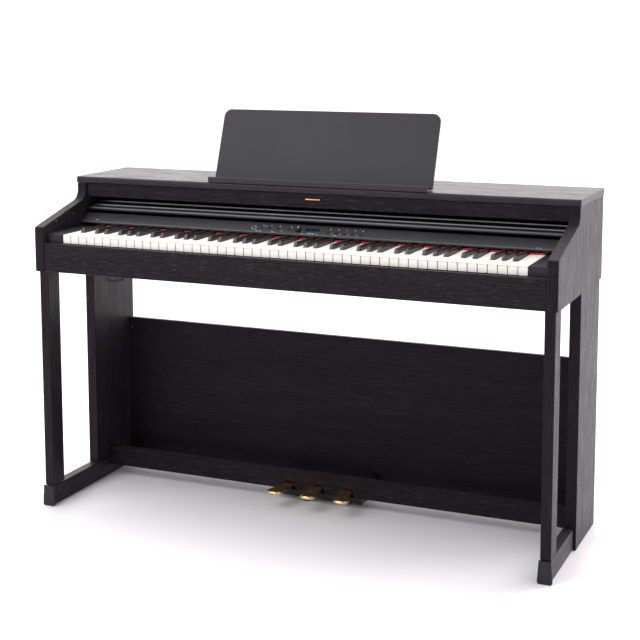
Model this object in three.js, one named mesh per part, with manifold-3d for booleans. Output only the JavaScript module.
// A digital piano on its stand. Millimetres, +Z up, +Y towards the back.
// The origin is on the floor, under the middle of the piano.
import * as THREE from 'three';
import { mergeVertices } from 'three/addons/utils/BufferGeometryUtils.js';
import Module from 'manifold-3d';

const wasm = await Module();
wasm.setup();

// Driving dimensions
const WIDTH = 1378;
const DEPTH = 468;
const BODY_TOP = 860;
const TOP_THICKNESS = 17.5;
const CABINET_BASE = 632.5;
const BOARD = 27;
const SIDE_SETBACK = 1.5;
const GAP = 0.3;
// How far a cutting shape runs past the face it cuts
const PAST = 5;

const FRONT = -DEPTH / 2;
const BACK = DEPTH / 2;
const TOP_UNDERSIDE = BODY_TOP - TOP_THICKNESS;
const SIDE_OUTER = WIDTH / 2 - SIDE_SETBACK;
const SIDE_INNER = SIDE_OUTER - BOARD;
const BETWEEN_SIDES = SIDE_INNER - GAP;
const TOP_FRONT = -26.6;

// Arm of the side board
const POST_TOP = 748.1;
const ARM_SLOPE = THREE.MathUtils.degToRad(14.9);
const ARM_FILLET = 30;

// Keyboard
const WHITE_COUNT = 52;
const WHITE_PITCH = 23.6;
const KEY_CLEARANCE = 1;
const KEY_FRONT = -214;
const WHITE_TOP = 729;
const WHITE_BOTTOM = 707;
const KEY_BAR_FRONT = -48;
const KEY_REAR = 8;
const BLACK_WIDTH = 11;
const BLACK_FRONT = -163.5;
const BLACK_TOP = 740.5;
const BLACK_REAR_TOP = 737;
const OCTAVE_BLOCKS = 7;
const WHITES_PER_OCTAVE = 7;
const KEYBED_BOTTOM = 634;
const KEYBED_TOP = 650;
const SLIP_TOP = 706.2;
const SLIP_BACK = -216;

// Control panel, a sloped strip behind the keys
const PANEL_FRONT = -50.6;
const PANEL_FRONT_TOP = 742;
const PANEL_REAR = -20.2;
const PANEL_REAR_TOP = 761.2;
const PANEL_SKIN = 3.2;
const PANEL_SLOPE = Math.atan2(PANEL_REAR_TOP - PANEL_FRONT_TOP, PANEL_REAR - PANEL_FRONT);

// Key lid, stored in the cabinet
const LID_SLOPE = THREE.MathUtils.degToRad(10.5);
const LID_FRONT = { y: -14.5, z: 773.3 };
const LID_LENGTH = 226;
const LID_HALF_THICKNESS = 3.5;
const LID_BAR_RADIUS = 5.5;
const LID_RIBS = [21, 56];

// Music rest
const REST_X = 12;
const REST_HALF_WIDTH = 300;
const REST_HEIGHT = 192;
const REST_THICKNESS = 8;
const REST_LEAN = THREE.MathUtils.degToRad(20);
const REST_HINGE = { y: 18, z: 866.5 };
const REST_CORNER = 20;

// Stand
const PANEL_DEPTH = { front: 3, back: 210 };
const STAND_TOP = CABINET_BASE - GAP;
const LEG_INNER = 655.5;
const LEG_OUTER = 681;
const LEG_Y = { front: -224, back: -172 };
const BAR_FRONT = -223;
const BAR_BOTTOM = 3;
const BAR_TOP = 54;
const RAIL_FRONT = 64;
const RAIL_BACK = 102;
const RAIL_BOTTOM = 30;
const RAIL_TOP = 76;
const PEDAL_X = [-98, -14, 70];
const PEDAL_LEAN = [-10, 0, 10];
const PEDAL_SLOT_HALF = 15.5;
const PEDAL_SLOT_TOP = 54;
const PEDAL_BOTTOM = 41;
const PEDAL_THICKNESS = 9;
const PEDAL_BOX = { left: -134, right: 106, bottom: 12, back: 172, top: 72, wall: 10, headroom: 4 };
const ADJUSTER = { x: -58, y: 84, stem: 4, well: 5, radius: 12, height: 6.5 };

const piano = new THREE.Group();

const LOOKS = {
  wood: { color: 0x2c2829, roughness: 0.45 },
  black: { color: 0x1d1d20, roughness: 0.5 },
  rest: { color: 0x3a3a40, roughness: 0.6 },
  white_key: { color: 0xf2efe6, roughness: 0.3 },
  black_key: { color: 0x17161a, roughness: 0.35 },
  brass: { color: 0xc9a35a, roughness: 0.25, metalness: 1 },
  board: { color: 0x1f4d33, roughness: 0.6 },
  cone: { color: 0x202022, roughness: 0.8 },
  display: { color: 0x10142c, roughness: 0.1 },
  backing: { color: 0x3b3029, roughness: 0.8 },
};

function addPart(name, geometry, look) {
  const mesh = new THREE.Mesh(geometry, new THREE.MeshStandardMaterial(LOOKS[look]));
  mesh.name = name;
  piano.add(mesh);
  return mesh;
}

function box(x0, x1, y0, y1, z0, z1) {
  const geometry = new THREE.BoxGeometry(x1 - x0, y1 - y0, z1 - z0);
  return geometry.translate((x0 + x1) / 2, (y0 + y1) / 2, (z0 + z1) / 2);
}

function shapeFrom(points) {
  return new THREE.Shape(points.map(([a, b]) => new THREE.Vector2(a, b)));
}

// A shape drawn in the (y, z) plane, extruded along x.
function alongX(shape, x0, x1, curveSegments = 10) {
  const depth = x1 - x0;
  const geometry = new THREE.ExtrudeGeometry(shape, { depth, bevelEnabled: false, curveSegments });
  const basis = new THREE.Matrix4().makeBasis(
    new THREE.Vector3(0, 1, 0),
    new THREE.Vector3(0, 0, 1),
    new THREE.Vector3(1, 0, 0),
  );
  return geometry.applyMatrix4(basis).translate(x0, 0, 0);
}

// A shape drawn in the (x, y) plane, extruded upwards.
function alongZ(shape, z0, z1, curveSegments = 12) {
  const depth = z1 - z0;
  const geometry = new THREE.ExtrudeGeometry(shape, { depth, bevelEnabled: false, curveSegments });
  return geometry.translate(0, 0, z0);
}

function cylinder(radius, x, y, z0, z1, sides = 24) {
  const geometry = new THREE.CylinderGeometry(radius, radius, z1 - z0, sides);
  return geometry.rotateX(Math.PI / 2).translate(x, y, (z0 + z1) / 2);
}

function toSolid(geometry) {
  const bare = geometry.clone();
  bare.deleteAttribute('normal');
  bare.deleteAttribute('uv');
  const merged = mergeVertices(bare, 1e-4);
  const vertProperties = Float32Array.from(merged.attributes.position.array);
  const triVerts = Uint32Array.from(merged.index.array);
  return new wasm.Manifold(new wasm.Mesh({ numProp: 3, vertProperties, triVerts }));
}

function toGeometry(solid) {
  const mesh = solid.getMesh();
  const geometry = new THREE.BufferGeometry();
  geometry.setAttribute('position', new THREE.BufferAttribute(mesh.vertProperties, 3));
  geometry.setIndex(new THREE.BufferAttribute(mesh.triVerts, 1));
  geometry.computeVertexNormals();
  return geometry;
}

function joined(geometries) {
  return toGeometry(geometries.map(toSolid).reduce((a, b) => a.add(b)));
}

function cut(geometry, tools) {
  return toGeometry(tools.map(toSolid).reduce((a, b) => a.subtract(b), toSolid(geometry)));
}

function eachSide(makePart) {
  makePart('left', -1);
  makePart('right', 1);
}

function mirrored(side, inner, outer) {
  return side < 0 ? [-outer, -inner] : [inner, outer];
}

// Upper cabinet

function topBoard() {
  const rTop = 6;
  const rBottom = 3;
  const backChamfer = 1;
  const front = TOP_FRONT;
  const shape = new THREE.Shape();
  shape.moveTo(BACK, TOP_UNDERSIDE);
  shape.lineTo(BACK, BODY_TOP - backChamfer);
  shape.lineTo(BACK - backChamfer, BODY_TOP);
  shape.lineTo(front + rTop, BODY_TOP);
  shape.absarc(front + rTop, BODY_TOP - rTop, rTop, Math.PI / 2, Math.PI, false);
  shape.lineTo(front, TOP_UNDERSIDE + rBottom);
  shape.absarc(front + rBottom, TOP_UNDERSIDE + rBottom, rBottom, Math.PI, 1.5 * Math.PI, false);
  addPart('top_board', alongX(shape, -WIDTH / 2, WIDTH / 2, 6), 'wood');
}

function sideBoards() {
  const backSetback = 2;
  const back = BACK - backSetback;
  const centre = { y: TOP_FRONT - ARM_FILLET, z: 0 };
  const tangentY = centre.y + ARM_FILLET * Math.sin(ARM_SLOPE);
  const tangentZ = POST_TOP + (tangentY - FRONT) * Math.tan(ARM_SLOPE);
  centre.z = tangentZ + ARM_FILLET * Math.cos(ARM_SLOPE);
  const nose = 3;
  const shape = new THREE.Shape();
  shape.moveTo(back, CABINET_BASE);
  shape.lineTo(back, TOP_UNDERSIDE - GAP);
  shape.lineTo(TOP_FRONT, TOP_UNDERSIDE - GAP);
  shape.absarc(centre.y, centre.z, ARM_FILLET, 0, ARM_SLOPE - Math.PI / 2, true);
  shape.lineTo(FRONT + nose, POST_TOP + nose * Math.tan(ARM_SLOPE));
  shape.lineTo(FRONT, POST_TOP - nose);
  shape.lineTo(FRONT, CABINET_BASE);
  eachSide((name, side) => {
    const [x0, x1] = mirrored(side, SIDE_INNER, SIDE_OUTER);
    addPart(`side_board_${name}`, alongX(shape, x0, x1, 12), 'wood');
  });
}

function fasciaBoard() {
  const front = -20;
  const thickness = 14;
  const bottom = 806;
  const top = TOP_UNDERSIDE - GAP;
  const x = BETWEEN_SIDES;
  addPart('fascia_board', box(-x, x, front, front + thickness, bottom, top), 'wood');
}

function cabinetBack() {
  const front = 220;
  const thickness = 8;
  const x = BETWEEN_SIDES;
  const top = TOP_UNDERSIDE - GAP;
  addPart('cabinet_back', box(-x, x, front, front + thickness, KEYBED_BOTTOM, top), 'backing');
}

const SPEAKER = { x: 430, y: 130, hole: 50, flange: 60 };

function keybed() {
  const x = BETWEEN_SIDES;
  const slipClearance = 0.5;
  const front = SLIP_BACK + slipClearance;
  const back = 219.7;
  const shape = shapeFrom([[-x, front], [x, front], [x, back], [-x, back]]);
  for (const side of [-1, 1]) {
    const hole = new THREE.Path();
    hole.absarc(side * SPEAKER.x, SPEAKER.y, SPEAKER.hole, 0, 2 * Math.PI, true);
    shape.holes.push(hole);
  }
  addPart('keybed', alongZ(shape, KEYBED_BOTTOM, KEYBED_TOP, 16), 'wood');
}

function keySlip() {
  const x = BETWEEN_SIDES;
  const setback = 2;
  addPart('key_slip', box(-x, x, FRONT + setback, SLIP_BACK, CABINET_BASE, SLIP_TOP), 'wood');
}

function keyBlocks() {
  const inner = WHITE_COUNT * WHITE_PITCH / 2 + KEY_CLEARANCE;
  const panelClearance = 2.4;
  const aboveKeys = 0.8;
  const back = PANEL_FRONT - panelClearance;
  const top = WHITE_TOP + aboveKeys;
  eachSide((name, side) => {
    const [x0, x1] = mirrored(side, inner, BETWEEN_SIDES);
    addPart(`key_block_${name}`, box(x0, x1, KEY_FRONT, back, KEYBED_TOP + GAP, top), 'black');
  });
}

// Speakers face down through the keybed's holes.
function speakers() {
  const base = KEYBED_TOP + GAP;
  const profile = [
    [0, 16], [12, 18], [44, 2], [SPEAKER.hole, 0], [SPEAKER.flange, 0],
    [SPEAKER.flange, 5], [52, 8], [34, 36], [34, 52], [0, 52],
  ];
  eachSide((name, side) => {
    const points = profile.map(([r, h]) => new THREE.Vector2(r, h));
    const geometry = new THREE.LatheGeometry(points, 24).rotateX(Math.PI / 2);
    geometry.translate(side * SPEAKER.x, SPEAKER.y, base);
    addPart(`speaker_${name}`, geometry, 'cone');
  });
}

// A board on four pillars, with two chips and a heat sink.
function circuitBoard() {
  const [x0, x1, y0, y1] = [-110, 110, 70, 180];
  const pillar = { radius: 4, height: 8, inset: 8, sides: 12 };
  const bottom = KEYBED_TOP + pillar.height;
  const top = bottom + 2;
  const solids = [box(x0, x1, y0, y1, bottom, top)];
  for (const x of [x0 + pillar.inset, x1 - pillar.inset]) {
    for (const y of [y0 + pillar.inset, y1 - pillar.inset]) {
      solids.push(cylinder(pillar.radius, x, y, KEYBED_TOP + GAP, top, pillar.sides));
    }
  }
  const parts = [
    { x: [-30, 5], y: [105, 140], height: 4 },
    { x: [30, 60], y: [100, 130], height: 3 },
    { x: [-85, -60], y: [90, 150], height: 16 },
  ];
  for (const { x, y, height } of parts) {
    solids.push(box(...x, ...y, bottom, top + height));
  }
  addPart('circuit_board', joined(solids), 'board');
}

function powerInlet() {
  const [x, half] = [-505, 15];
  const [y0, y1, z0] = [196, 219, 616];
  const socket = { radius: 4.5, depth: 14, height: 9 };
  const body = box(x - half, x + half, y0, y1, z0, KEYBED_BOTTOM - GAP);
  const tool = new THREE.CylinderGeometry(socket.radius, socket.radius, 2 * socket.depth, 20);
  tool.translate(x, y1, z0 + socket.height);
  addPart('power_inlet', cut(body, [tool]), 'black');
}

function headphoneHook() {
  const y = -200;
  const wireRadius = 2.1;
  const route = [
    [-441, KEYBED_BOTTOM - GAP], [-441, 627], [-447, 620.5], [-462, 616.5],
    [-476, 613.5], [-484, 613.5], [-489, 617], [-491.5, 623],
  ];
  const path = new THREE.CatmullRomCurve3(route.map(([x, z]) => new THREE.Vector3(x, y, z)));
  const section = new THREE.Shape();
  section.absarc(0, 0, wireRadius, 0, 2 * Math.PI, false);
  const geometry = new THREE.ExtrudeGeometry(section, {
    extrudePath: path, steps: 26, curveSegments: 4, bevelEnabled: false,
  });
  addPart('headphone_hook', geometry, 'black');
}

// Key lid, drawn along its own slope with its grip bar at the origin

function keyLid() {
  const half = LID_HALF_THICKNESS;
  const join = Math.asin(half / LID_BAR_RADIUS);
  const ribHeight = 3;
  const ribHalf = 1.6;
  const ribTopHalf = 1;
  const shape = new THREE.Shape();
  shape.moveTo(LID_LENGTH, -half);
  shape.absarc(0, 0, LID_BAR_RADIUS, -join, join, true);
  for (const at of LID_RIBS) {
    shape.lineTo(at - ribHalf, half);
    shape.lineTo(at - ribTopHalf, half + ribHeight);
    shape.lineTo(at + ribTopHalf, half + ribHeight);
    shape.lineTo(at + ribHalf, half);
  }
  shape.lineTo(LID_LENGTH, half);
  const x = SIDE_INNER - 1;
  const mesh = addPart('key_lid', alongX(shape, -x, x, 10), 'black');
  mesh.position.set(0, LID_FRONT.y, LID_FRONT.z);
  mesh.rotation.x = LID_SLOPE;
}

// Control panel. Its controls are placed on the slope by x and by the distance s up from the front.

const BUTTON = { halfWidth: 4.5, halfDepth: 2.4, proud: 1.3, below: 5, clearance: 0.4 };
const LEFT_BUTTONS_X = [-129, -106.5, -83, -51];
const RIGHT_BUTTONS_X = [57, 79, 100.5, 122.8, 143.9];
const LEFT_BUTTONS_S = 16.4;
const RIGHT_BUTTONS_S = 12.8;
const POWER = { x: -150.5, s: 15.7, radius: 5 };
const KNOB = { x: -26.5, s: 15.5, radius: 8.5, taper: 0.8, height: 7, lift: 0.6, shaft: 3 };
const DISPLAY = { x: 11.6, s: 18, halfWidth: 19.6, halfDepth: 6, sunk: 0.2, thickness: 2.2 };

function onPanel(geometry, x, s) {
  const y = PANEL_FRONT + s * Math.cos(PANEL_SLOPE);
  const z = PANEL_FRONT_TOP + s * Math.sin(PANEL_SLOPE);
  return geometry.rotateX(PANEL_SLOPE).translate(x, y, z);
}

function controlPanel() {
  const lip = 1.4;
  const flange = 3.2;
  const rear = -12;
  const lipBottom = PANEL_FRONT_TOP - 4.2;
  const inner = PANEL_SKIN / Math.cos(PANEL_SLOPE);
  const shape = shapeFrom([
    [PANEL_FRONT - lip, lipBottom],
    [PANEL_FRONT - lip, PANEL_FRONT_TOP - lip],
    [PANEL_FRONT, PANEL_FRONT_TOP],
    [PANEL_REAR, PANEL_REAR_TOP],
    [rear, PANEL_REAR_TOP],
    [rear, PANEL_FRONT_TOP],
    [rear - flange, PANEL_FRONT_TOP],
    [rear - flange, PANEL_REAR_TOP - inner],
    [PANEL_REAR, PANEL_REAR_TOP - inner],
    [PANEL_FRONT, lipBottom],
  ]);
  const plate = alongX(shape, -BETWEEN_SIDES, BETWEEN_SIDES);
  const deep = 12;
  const gap = BUTTON.clearance;
  const [w, d] = [BUTTON.halfWidth + gap, BUTTON.halfDepth + gap];
  const holes = [];
  for (const x of LEFT_BUTTONS_X) {
    holes.push(onPanel(box(-w, w, -d, d, -deep, deep), x, LEFT_BUTTONS_S));
  }
  for (const x of RIGHT_BUTTONS_X) {
    holes.push(onPanel(box(-w, w, -d, d, -deep, deep), x, RIGHT_BUTTONS_S));
  }
  holes.push(onPanel(cylinder(POWER.radius + gap, 0, 0, -deep, deep), POWER.x, POWER.s));
  holes.push(onPanel(cylinder(KNOB.shaft + gap, 0, 0, -deep, deep), KNOB.x, KNOB.s));
  const [dw, dd] = [DISPLAY.halfWidth + GAP, DISPLAY.halfDepth + GAP];
  holes.push(onPanel(box(-dw, dw, -dd, dd, -deep, deep), DISPLAY.x, DISPLAY.s));
  addPart('control_panel', cut(plate, holes), 'black');
}

function panelControls() {
  const { halfWidth: w, halfDepth: d, proud, below } = BUTTON;
  const rows = [[LEFT_BUTTONS_X, LEFT_BUTTONS_S], [RIGHT_BUTTONS_X, RIGHT_BUTTONS_S]];
  let number = 0;
  for (const [places, s] of rows) {
    for (const x of places) {
      number += 1;
      addPart(`button_${number}`, onPanel(box(-w, w, -d, d, -below, proud), x, s), 'black');
    }
  }
  const power = cylinder(POWER.radius, 0, 0, -below, proud);
  addPart('power_button', onPanel(power, POWER.x, POWER.s), 'black');

  const { radius, taper, height, lift } = KNOB;
  const shaft = cylinder(KNOB.shaft, 0, 0, -below, 2 * lift);
  const cap = new THREE.CylinderGeometry(radius - taper, radius, height - lift, 28);
  cap.rotateX(Math.PI / 2).translate(0, 0, (height + lift) / 2);
  addPart('volume_knob', onPanel(joined([shaft, cap]), KNOB.x, KNOB.s), 'black');

  const { halfWidth: dw, halfDepth: dd, sunk, thickness } = DISPLAY;
  const display = box(-dw, dw, -dd, dd, -sunk - thickness, -sunk);
  addPart('display_window', onPanel(display, DISPLAY.x, DISPLAY.s), 'display');
}

// Keyboard. White key 0 is A0, and an octave starts at C.

// Where each black key sits, as [white key on its left within the octave, sideways offset].
const BLACKS_IN_OCTAVE = [[0, -2], [1, 2], [3, -3], [4, 0], [5, 3]];
const KEYBOARD_LEFT = -WHITE_COUNT * WHITE_PITCH / 2;

function blackCentre(octave, [left, offset]) {
  const white = 2 + WHITES_PER_OCTAVE * octave + left;
  return KEYBOARD_LEFT + (white + 1) * WHITE_PITCH + offset;
}

function blackCentres(block) {
  const centres = BLACKS_IN_OCTAVE.map((black) => blackCentre(block, black));
  if (block === 0) {
    centres.unshift(blackCentre(-1, BLACKS_IN_OCTAVE[4]));
  }
  return centres;
}

function whiteRange(block) {
  const first = block === 0 ? 0 : 2 + WHITES_PER_OCTAVE * block;
  const last = block === OCTAVE_BLOCKS - 1 ? WHITE_COUNT : 2 + WHITES_PER_OCTAVE * (block + 1);
  return [first, last];
}

// The white keys of one block: separate in front, joined by a bar under the control panel.
function whiteBlock(block) {
  const frontClearance = 1.2;
  const notch = BLACK_FRONT - frontClearance;
  const reach = BLACK_WIDTH / 2 + KEY_CLEARANCE;
  const blacks = blackCentres(block);
  const [first, last] = whiteRange(block);
  const points = [];
  for (let key = first; key < last; key += 1) {
    const left = KEYBOARD_LEFT + key * WHITE_PITCH + KEY_CLEARANCE / 2;
    const right = left + WHITE_PITCH - KEY_CLEARANCE;
    const blackOnLeft = blacks.find((x) => Math.abs(x - left) < reach);
    const blackOnRight = blacks.find((x) => Math.abs(x - right) < reach);
    if (blackOnLeft !== undefined) {
      const inner = blackOnLeft + reach;
      points.push([inner, KEY_BAR_FRONT], [inner, notch], [left, notch]);
    } else {
      points.push([left, KEY_BAR_FRONT]);
    }
    points.push([left, KEY_FRONT], [right, KEY_FRONT]);
    if (blackOnRight !== undefined) {
      const inner = blackOnRight - reach;
      points.push([right, notch], [inner, notch], [inner, KEY_BAR_FRONT]);
    } else {
      points.push([right, KEY_BAR_FRONT]);
    }
  }
  points.push([points.at(-1)[0], KEY_REAR], [points[0][0], KEY_REAR]);
  return alongZ(shapeFrom(points), WHITE_BOTTOM, WHITE_TOP);
}

// The black keys of one block, joined by a bar that lies above the white keys' bar.
function blackBlock(block) {
  const bodyBottom = 716;
  const bodyBack = KEY_BAR_FRONT - 2;
  const barBottom = 733;
  const noseSlope = { start: WHITE_TOP + 1, length: 7 };
  const rearStep = 8;
  const nose = shapeFrom([
    [BLACK_FRONT, bodyBottom],
    [BLACK_FRONT, noseSlope.start],
    [BLACK_FRONT + noseSlope.length, BLACK_TOP],
    [bodyBack - rearStep, BLACK_REAR_TOP],
    [KEY_BAR_FRONT, BLACK_REAR_TOP],
    [KEY_BAR_FRONT, barBottom],
    [bodyBack, barBottom],
    [bodyBack, bodyBottom],
  ]);
  const centres = blackCentres(block);
  const half = BLACK_WIDTH / 2;
  const solids = centres.map((x) => alongX(nose, x - half, x + half));
  const [x0, x1] = [centres[0] - half, centres.at(-1) + half];
  solids.push(box(x0, x1, bodyBack, KEY_REAR, barBottom, BLACK_REAR_TOP));
  return joined(solids);
}

function keyboard() {
  const half = WHITE_COUNT * WHITE_PITCH / 2;
  const frame = shapeFrom([
    [-190, KEYBED_TOP + GAP], [30, KEYBED_TOP + GAP], [30, 700], [-10, 700],
    [-10, 688], [-60, 688], [-60, 676], [-150, 676], [-150, 692], [-190, 692],
  ]);
  addPart('key_frame', alongX(frame, -half, half), 'black');
  for (let block = 0; block < OCTAVE_BLOCKS; block += 1) {
    addPart(`white_keys_${block + 1}`, whiteBlock(block), 'white_key');
    addPart(`black_keys_${block + 1}`, blackBlock(block), 'black_key');
  }
}

// Music rest

function musicRest() {
  const front = TOP_FRONT + 0.6;
  const back = 10;
  const base = BODY_TOP + GAP;
  const floor = base + 4;
  const lip = 6;
  const lipTop = 874.7;
  const ledge = shapeFrom([
    [front, base], [back, base], [back, floor], [front + lip, floor],
    [front + lip, lipTop], [front, lipTop],
  ]);
  addPart('music_rest_ledge', alongX(ledge, REST_X - REST_HALF_WIDTH, REST_X + REST_HALF_WIDTH), 'black');

  const bottom = -3;
  const top = REST_HEIGHT + bottom;
  const shape = new THREE.Shape();
  shape.moveTo(-REST_HALF_WIDTH, bottom);
  shape.lineTo(REST_HALF_WIDTH, bottom);
  const [cornerX, cornerZ] = [REST_HALF_WIDTH - REST_CORNER, top - REST_CORNER];
  shape.absarc(cornerX, cornerZ, REST_CORNER, 0, Math.PI / 2, false);
  shape.absarc(-cornerX, cornerZ, REST_CORNER, Math.PI / 2, Math.PI, false);
  const panel = alongZ(shape, -REST_THICKNESS / 2, REST_THICKNESS / 2, 8).rotateX(Math.PI / 2);
  const mesh = addPart('music_rest_panel', panel, 'rest');
  mesh.position.set(REST_X, REST_HINGE.y, REST_HINGE.z);
  mesh.rotation.x = -REST_LEAN;
}

// Stand

// The upright is notched over the back end of the foot bar. The front leg stands on the bar's other
// end on a slightly smaller plug, which leaves a shadow line between them.
function standSides() {
  const inset = 3;
  const shadow = 2;
  const plugHeight = 24;
  const { front, back } = LEG_Y;
  eachSide((name, side) => {
    const [x0, x1] = mirrored(side, SIDE_INNER, SIDE_OUTER);
    const upright = box(x0, x1, PANEL_DEPTH.front, PANEL_DEPTH.back, 0, STAND_TOP);
    const [n0, n1] = mirrored(side, SIDE_INNER - PAST, LEG_OUTER + GAP);
    const notch = box(n0, n1, PANEL_DEPTH.front - PAST, RAIL_FRONT, -PAST, BAR_TOP + GAP);
    addPart(`side_panel_${name}`, cut(upright, [notch]), 'wood');

    const [b0, b1] = mirrored(side, LEG_INNER, LEG_OUTER);
    const base = BAR_TOP + GAP;
    const plug = box(b0 + inset, b1 - inset, front + inset, back - inset, base, base + plugHeight);
    const leg = box(b0, b1, front, back, BAR_TOP + shadow, STAND_TOP);
    addPart(`front_leg_${name}`, joined([plug, leg]), 'wood');
    const bar = box(b0, b1, BAR_FRONT, RAIL_FRONT - GAP, BAR_BOTTOM, BAR_TOP);
    addPart(`foot_bar_${name}`, bar, 'wood');
    addPart(`foot_cap_${name}`, footCap((b0 + b1) / 2), 'black');
  });
}

// The cap on a foot bar's front end, wider at the bottom, with a rounded base.
function footCap(x) {
  const back = BAR_FRONT - GAP;
  const depth = 6.5;
  const [topHalf, footHalf, soleHalf] = [15, 18, 13];
  const footTop = 6;
  const top = BAR_TOP + 1;
  const shape = shapeFrom([
    [x - topHalf, top], [x - footHalf, footTop], [x - soleHalf, 0],
    [x + soleHalf, 0], [x + footHalf, footTop], [x + topHalf, top],
  ]);
  const geometry = new THREE.ExtrudeGeometry(shape, { depth, bevelEnabled: false });
  return geometry.rotateX(Math.PI / 2).translate(0, back, 0);
}

function backBoard() {
  const x = BETWEEN_SIDES;
  const front = 181;
  const thickness = 12;
  const [bottom, top] = [30, 433];
  addPart('back_board', box(-x, x, front, front + thickness, bottom, top), 'wood');
}

// A straight-sided space around each pedal, between two depths and two heights.
function pedalSpaces(y0, y1, z0, z1) {
  return PEDAL_X.map((x) => box(x - PEDAL_SLOT_HALF, x + PEDAL_SLOT_HALF, y0, y1, z0, z1));
}

function pedalRail() {
  const x = BETWEEN_SIDES;
  const rail = box(-x, x, RAIL_FRONT, RAIL_BACK, RAIL_BOTTOM, RAIL_TOP);
  const slots = pedalSpaces(RAIL_FRONT - PAST, RAIL_BACK + PAST, RAIL_BOTTOM - PAST, PEDAL_SLOT_TOP);
  const wellTop = RAIL_BOTTOM + 18;
  const well = cylinder(ADJUSTER.well, ADJUSTER.x, ADJUSTER.y, RAIL_BOTTOM - PAST, wellTop, 20);
  addPart('pedal_rail', cut(rail, [...slots, well]), 'wood');
}

// The housing behind and under the rail, with a channel for each pedal to tilt in.
function pedalBox() {
  const { left, right, bottom, back, top, wall, headroom } = PEDAL_BOX;
  const front = RAIL_FRONT + 4;
  const behind = RAIL_BACK + GAP;
  const under = RAIL_BOTTOM - GAP;
  const profile = shapeFrom([
    [front, bottom], [back, bottom], [back, top], [behind, top], [behind, under], [front, under],
  ]);
  const channels = pedalSpaces(
    RAIL_BACK - PAST, back - wall, RAIL_BOTTOM - headroom, PEDAL_SLOT_TOP + headroom,
  );
  const bore = cylinder(ADJUSTER.well, ADJUSTER.x, ADJUSTER.y, bottom - PAST, RAIL_BOTTOM + PAST, 20);
  addPart('pedal_box', cut(alongX(profile, left, right), [...channels, bore]), 'black');
}

function railAdjuster() {
  const { x, y, stem, radius, height } = ADJUSTER;
  const disc = cylinder(radius, x, y, 0, height);
  const screw = cylinder(stem, x, y, height - 1, RAIL_BOTTOM + 10, 16);
  addPart('rail_adjuster', joined([disc, screw]), 'black');
}

// One pedal, seen from above: a straight shank that flares into a round-fronted pad, set sideways by a lean.
function pedal(x, lean) {
  const shank = 13.5;
  const pad = 20.5;
  const padX = x + lean;
  const [tip, padBack, padBend, shankBend, shankFront, tail] = [-27, -12, 14, 22, 50, 150];
  const shape = new THREE.Shape();
  shape.moveTo(x - shank, tail);
  shape.lineTo(x - shank, shankFront);
  shape.bezierCurveTo(x - shank, shankBend, padX - pad, padBend, padX - pad, padBack);
  shape.quadraticCurveTo(padX - pad, tip, padX, tip);
  shape.quadraticCurveTo(padX + pad, tip, padX + pad, padBack);
  shape.bezierCurveTo(padX + pad, padBend, x + shank, shankBend, x + shank, shankFront);
  shape.lineTo(x + shank, tail);
  return alongZ(shape, PEDAL_BOTTOM, PEDAL_BOTTOM + PEDAL_THICKNESS, 6);
}

topBoard();
sideBoards();
fasciaBoard();
cabinetBack();
keybed();
keySlip();
keyBlocks();
speakers();
circuitBoard();
powerInlet();
headphoneHook();
keyLid();
controlPanel();
panelControls();
keyboard();
musicRest();
standSides();
backBoard();
pedalRail();
pedalBox();
['left', 'middle', 'right'].forEach((name, i) => {
  addPart(`pedal_${name}`, pedal(PEDAL_X[i], PEDAL_LEAN[i]), 'brass');
});
railAdjuster();

export default piano;
